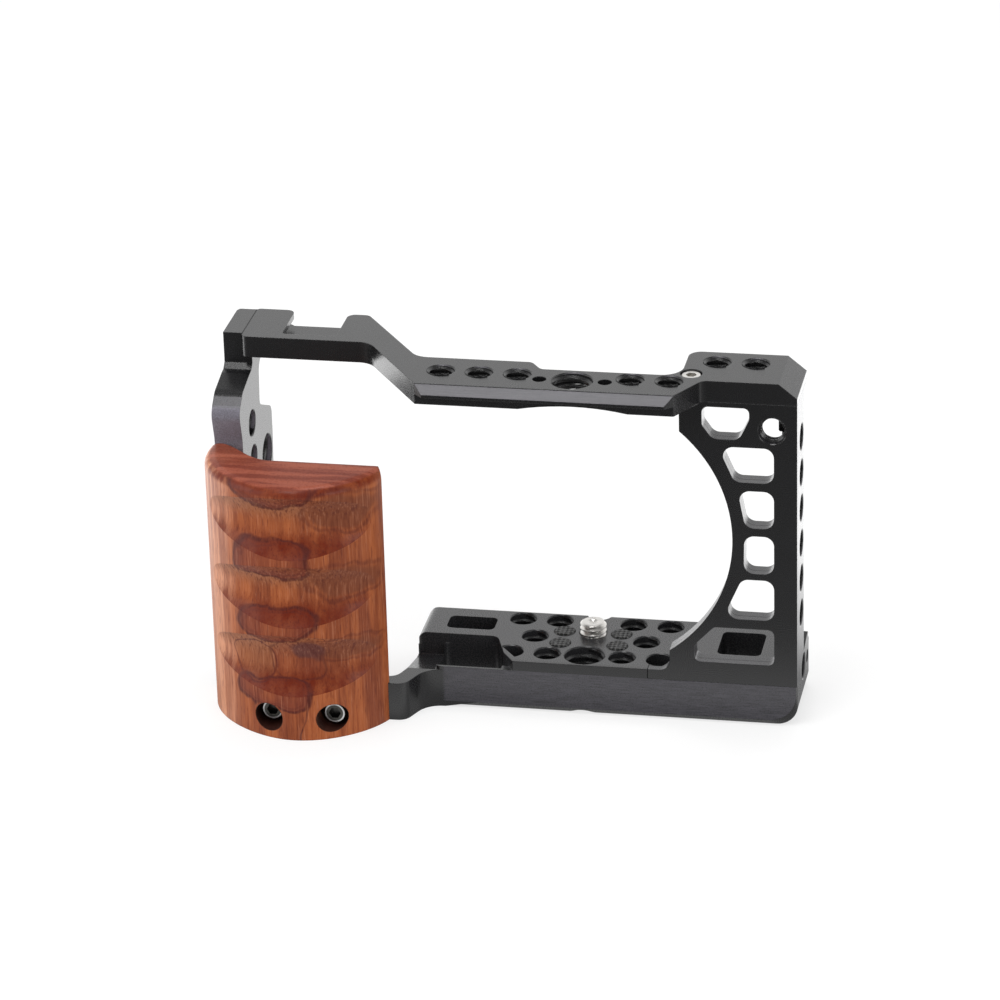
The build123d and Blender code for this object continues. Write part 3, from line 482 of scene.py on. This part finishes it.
HIDDEN_FASTENERS = ("base_panel_screw", "top_leg_screw", "bottom_leg_screw", "panel_dowel", "grip_dowel")
aluminium = anodised("anodised_blasted")
stainless = steel("stainless_bright", grey(0.80, (1.0, 0.98, 0.94)), grey(0.62, (1.0, 0.97, 0.93)), 0.33)
black_steel = steel("black_oxide_steel", grey(0.075), grey(0.03), 0.38)
spring_steel = steel("spring_steel_ring", grey(0.34), grey(0.2), 0.3)
dress("top_bar", anodised("anodised_top_bar", bar_milled, 0.075, 0.040, 0.1, seam=end_seam))
dress("base_plate", anodised("anodised_base_plate", strip_milled, 0.066, 0.012, recess=0.022))
dress("side_panel", anodised("anodised_side_panel", side_milled, 0.05, 0.03, seam=window_step))
dress("grip_side_plate", anodised("anodised_grip_side", leg_milled, 0.22, 0.09, 0.12, end_seam,
                                  (3200, 5200, 5200)))
dress("wooden_grip", wood())
pads = rubber()
pocket_painted_light = pocket_steel_painted_light()
for name in nodes:
    if name.startswith("anti_slip_pad"):
        dress(name, pads)
    elif name.startswith(HIDDEN_FASTENERS):
        dress(name, black_steel)
    elif name.startswith("grip_screw"):
        dress(name, pocket_painted_light)
dress("top_screw", stainless)
dress("camera_screw_washer", nylon())
dress("camera_screw_retaining_ring", spring_steel)


# ---- Threads ----
def shown(name, made, material, body, crease=35):
    """Puts a bmesh in the scene as a smooth piece that rides on a body; crease is in degrees."""
    data = bpy.data.meshes.new(name)
    made.to_mesh(data)
    made.free()
    data.materials.append(material)
    data.polygons.foreach_set("use_smooth", [True] * len(data.polygons))
    data.set_sharp_from_angle(angle=math.radians(crease))
    piece = bpy.data.objects.new(name, data)
    bpy.context.scene.collection.objects.link(piece)
    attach(piece, body)
    return piece


def ridge(made, place, radius, pitch, length):
    """Adds one helical ridge of an internal thread, about the place's Z axis, centred on it."""
    turns = length / pitch - 2 * RIDGE_FOOT
    count = round(turns * STEPS)
    deep = RIDGE_DEPTH * pitch
    sections = []
    for i in range(count + 1):
        angle = 2 * math.pi * turns * i / count
        height = turns * pitch * (i / count - 0.5)
        fade = min(1.0, i / FADE, (count - i) / FADE)
        crest = radius - deep * max(RIDGE_START, fade)
        profile = ((radius + RIDGE_BURIED, -RIDGE_FOOT), (crest, -RIDGE_CREST),
                   (crest, RIDGE_CREST), (radius + RIDGE_BURIED, RIDGE_FOOT))
        sections.append([made.verts.new(place @ Vector((r * math.cos(angle), r * math.sin(angle),
                                                         height + share * pitch)))
                         for r, share in profile])
    for first, second in zip(sections, sections[1:]):
        for j in range(4):
            k = (j + 1) % 4
            made.faces.new((first[j], first[k], second[k], second[j]))
    made.faces.new(sections[0][::-1])
    made.faces.new(sections[-1])


def hole_threads(name, prefix):
    """Ridges of all the tapped holes whose mount names start with prefix."""
    made = bmesh.new()
    for mount in mounts:
        if not mount["name"].startswith(prefix) or mount["kind"] != "threaded_hole":
            continue
        radius = mount["dims"]["r_mm"]
        pitch = QUARTER_PITCH if radius < QUARTER_RADIUS_LIMIT else THREE_EIGHTH_PITCH
        turn = Vector((0, 0, 1)).rotation_difference(Vector(mount["axis"])).to_matrix().to_4x4()
        place = Matrix.Translation(Vector(mount["pos_m"])) @ turn @ Matrix.Scale(MM, 4)
        ridge(made, place, radius, pitch, mount["dims"]["length_mm"])
    bmesh.ops.recalc_face_normals(made, faces=made.faces)
    shown(name, made, aluminium, "cage")


# names of the pieces, and how the names of their mounts begin
for group in (("base_plate_seat_threads", "seat_thread"), ("base_plate_lug_thread", "lug_thread"),
              ("top_bar_threads", "bar_thread"), ("side_panel_plate_thread", "plate_thread"),
              ("side_panel_wall_threads", "wall_thread"), ("grip_side_plate_threads", "grip_side_thread")):
    hole_threads(*group)


# ---- Camera screw ----
SCREW_RADIUS = 3.175
SCREW_ROOT = 2.5
SCREW_TIP = 2.9
SCREW_CUT = -0.75        # the CAD shank is kept below this height
TIP_CHAMFER = 0.55
DISH_RADIUS = 1.3
DISH_DEPTH = 0.45
# shares of the dish's radius and depth
DISH_PROFILE = ((1.0, 0.0), (0.92, 0.1), (0.6, 0.6), (0.3, 0.9), (0.08, 1.0))
AROUND = 72              # sections round the thread and along it
ALONG = 76
FLANK = 1.35             # steepness of the thread's flanks, and how much of its root is flat
ROOT_FLAT = 0.12
RUN_OUT_START = -0.35    # the thread gets deeper from this height, over this length
RUN_OUT_LENGTH = 0.5
TIP_ROUND = 1.5          # more makes the chamfer at the tip rounder
WELD = 0.002             # CAD points closer than this are one


def screw_radius(z, step):
    """Radius of the camera screw at a height and a number of steps round it."""
    phase = (z / QUARTER_PITCH - step / AROUND) % 1.0
    tooth = min(1.0, max(0.0, FLANK * (1 - abs(2 * phase - 1)) - ROOT_FLAT))
    run_out = min(1.0, max(0.0, (z - RUN_OUT_START) / RUN_OUT_LENGTH))
    tip = max(0.0, (z - SCREW_TIP) / TIP_CHAMFER + 1) ** TIP_ROUND
    return min(SCREW_RADIUS - (SCREW_RADIUS - SCREW_ROOT) * (1 - tooth) * run_out,
               SCREW_RADIUS - TIP_CHAMFER * tip)


def screw_point(made, radius, step, z):
    """Adds a point at a radius, a number of steps round the screw's axis."""
    angle = 2 * math.pi * step / AROUND
    return made.verts.new((radius * MM * math.cos(angle), radius * MM * math.sin(angle), z * MM))


def camera_screw():
    """The CAD screw's head and guide, with a real thread and a dished tip above."""
    made = bmesh.new()
    made.from_mesh(nodes["camera_screw"].data)
    bmesh.ops.remove_doubles(made, verts=made.verts, dist=WELD * MM)
    bmesh.ops.bisect_plane(made, geom=made.verts[:] + made.edges[:] + made.faces[:],
                           plane_co=(0, 0, SCREW_CUT * MM), plane_no=(0, 0, 1), clear_outer=True)
    rows = []
    for i in range(ALONG + 1):
        z = SCREW_CUT + (SCREW_TIP - SCREW_CUT) * i / ALONG
        rows.append([screw_point(made, screw_radius(z, j), j, z) for j in range(AROUND)])
    for share, depth in DISH_PROFILE:
        rows.append([screw_point(made, DISH_RADIUS * share, j, SCREW_TIP - DISH_DEPTH * depth)
                     for j in range(AROUND)])
    for low, high in zip(rows, rows[1:]):
        for j in range(AROUND):
            k = (j + 1) % AROUND
            made.faces.new((low[j], low[k], high[k], high[j]))
    made.faces.new(rows[-1])
    made.faces.new(rows[0][::-1])
    bmesh.ops.recalc_face_normals(made, faces=made.faces)
    piece = shown("camera_screw_threaded", made, stainless, "screw_turn", 40)
    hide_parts("camera_screw")


camera_screw()


# ---- Floor, light and camera ----
FLOOR_RADIUS = 6.0       # metres
FLOOR_DROP = 0.02        # mm below the feet of the cage
FLOOR_GLOW = 0.66        # share of the floor's white that a shadow can't darken
FLOOR_COLOUR = 0.36      # what a shadow can darken
PAPER_SCALE = 900        # faint grain of the floor, and its two whites
PAPER_WHITES = (0.80, 0.82)
# Brightness of the floor in reflections: from and to in metres, and the value at each end.
# Along y, in front of the cage: far and near.
AHEAD_FAR = (-0.21, -0.11, 0.12, 0.3)
AHEAD_NEAR = (-0.07, -0.035, 0.0, 0.7)
# Along y and x, behind on the right and at the far left; along y, behind.
RIGHT_NORTH, RIGHT_EAST = (0.02, 0.08, 0.0, 1.0), (0.02, 0.07, 0.0, 1.2)
LEFT_NORTH, LEFT_EAST = (-0.08, -0.02, 0.0, 1.0), (-0.12, -0.20, 0.0, 1.6)
BEHIND = (0.03, 0.09, 0.0, 0.6)
# Dark contact under the cage: 1 beyond it on each side.
CLEAR_EAST = ((0.055, 0.07, 0.1, 1.0), (-0.085, -0.11, 0.1, 1.0))
CLEAR_NORTH = ((-0.0215, -0.032, 0.1, 1.0), (0.008, 0.03, 0.4, 1.0))

AMBIENT = 0.72           # light from all round, which the camera doesn't see
# Brightness of the sky in reflections, along the y and the z of the direction.
SKY_AHEAD = (-0.7, 0.1, 0.12, 1.08)
SKY_CEILING = (0.60, 0.80, 1.0, 0.22)

LIGHT_AIM = (-0.015, -0.015, 0.03)
# name, place in metres, width in metres, power in watts
LIGHTS = (("key", (-0.16, -0.38, 0.95), 0.34, 2.6),
          ("overhead", (-0.02, 0.22, 1.0), 0.26, 1.5),
          ("fill", (-1.0, -0.45, 0.4), 0.7, 3.4),
          ("side", (0.95, -0.75, 0.45), 0.5, 3.0))

CAMERA_ANGLES = (11.329, 24.087, 1.608)          # azimuth, elevation and roll in degrees
CAMERA_PLACE = (0.178233, -0.999206, 0.489051)   # metres
CAMERA_LENS = 168.98     # mm, and the width of the sensor in mm
CAMERA_SENSOR = 36
CAMERA_NEAR = 0.01       # metres


def mirrored_floor(s):
    """Brightness of the floor in reflections."""
    east, north = s.axis(s.place, "X"), s.axis(s.place, "Y")
    ahead = s.math("ADD", s.level(north, *AHEAD_FAR), s.level(north, *AHEAD_NEAR))
    right = s.times(s.level(north, *RIGHT_NORTH), s.level(east, *RIGHT_EAST))
    left = s.times(s.level(north, *LEFT_NORTH), s.level(east, *LEFT_EAST))
    beyond = s.math("ADD", s.math("ADD", right, left), s.level(north, *BEHIND))
    clear = s.most(*(s.level(east, *limits) for limits in CLEAR_EAST),
                   *(s.level(north, *limits) for limits in CLEAR_NORTH))
    return s.math("ADD", s.times(ahead, clear), beyond)


def floor():
    """White floor that keeps a soft shadow, with its own brightness in reflections."""
    made = bmesh.new()
    bmesh.ops.create_circle(made, cap_ends=True, segments=96, radius=FLOOR_RADIUS)
    data = bpy.data.meshes.new("floor")
    made.to_mesh(data)
    made.free()
    piece = bpy.data.objects.new("floor", data)
    piece.location.z = (FLOOR_Z - FLOOR_DROP) * MM
    bpy.context.scene.collection.objects.link(piece)
    s = Shader("floor_white")
    grain = s.node("ShaderNodeTexNoise", {"Scale": PAPER_SCALE}).outputs["Fac"]
    paper = s.mix(grain, *(grey(white) for white in PAPER_WHITES))
    plain = s.node("ShaderNodeBsdfDiffuse", {"Color": paper}).outputs[0]
    shade = s.node("ShaderNodeBsdfDiffuse", {"Color": grey(FLOOR_COLOUR)}).outputs[0]
    glow = s.node("ShaderNodeEmission", {"Strength": FLOOR_GLOW}).outputs[0]
    both = s.node("ShaderNodeAddShader", {0: shade, 1: glow}).outputs[0]
    mirrored = s.node("ShaderNodeEmission", {"Strength": mirrored_floor(s)}).outputs[0]
    glossy = s.node("ShaderNodeLightPath").outputs["Is Glossy Ray"]
    data.materials.append(s.close(s.choose(glossy, s.choose(s.seen_directly(), plain, both), mirrored)))


def surroundings():
    """White all round to the camera, a shaped white in reflections, a soft grey for the light itself."""
    world = bpy.data.worlds.new("studio")
    bpy.context.scene.world = world
    world.use_nodes = True
    s = Nodes(world.node_tree)
    direction = s.node("ShaderNodeTexCoord").outputs["Generated"]
    mirrored = s.times(s.level(s.axis(direction, "Y"), *SKY_AHEAD),
                       s.level(s.axis(direction, "Z"), *SKY_CEILING))
    direct = s.most(mirrored, s.node("ShaderNodeLightPath").outputs["Is Camera Ray"])
    soft, white = (s.node("ShaderNodeBackground", {"Color": grey(1.0), "Strength": strength}).outputs[0]
                   for strength in (AMBIENT, direct))
    s.node("ShaderNodeOutputWorld", {"Surface": s.choose(s.seen_directly(), soft, white)})


def softbox(name, place, width, power):
    """Square area light that looks at the middle of the cage."""
    light = bpy.data.lights.new(name, "AREA")
    light.shape = "SQUARE"
    light.size = width
    light.energy = power
    lamp = bpy.data.objects.new(name, light)
    lamp.location = place
    aim = Vector(LIGHT_AIM) - Vector(place)
    lamp.rotation_mode = "QUATERNION"
    lamp.rotation_quaternion = aim.to_track_quat("-Z", "Y")
    bpy.context.scene.collection.objects.link(lamp)


def camera():
    """Camera in front of the cage, to the right and above."""
    azimuth, elevation, roll = (math.radians(angle) for angle in CAMERA_ANGLES)
    back = Vector((math.sin(azimuth) * math.cos(elevation), -math.cos(azimuth) * math.cos(elevation),
                   math.sin(elevation)))
    right = Vector((math.cos(azimuth), math.sin(azimuth), 0))
    up = back.cross(right)
    across = math.cos(roll) * right - math.sin(roll) * up
    above = math.sin(roll) * right + math.cos(roll) * up
    data = bpy.data.cameras.new("camera")
    data.lens = CAMERA_LENS
    data.sensor_width = CAMERA_SENSOR
    data.clip_start = CAMERA_NEAR
    eye = bpy.data.objects.new("camera", data)
    turn = Matrix((across, above, back)).transposed().to_4x4()
    eye.matrix_world = Matrix.Translation(CAMERA_PLACE) @ turn
    bpy.context.scene.collection.objects.link(eye)
    bpy.context.scene.camera = eye


floor()
surroundings()
for light in LIGHTS:
    softbox(*light)
camera()
bpy.context.scene.view_settings.view_transform = "Standard"
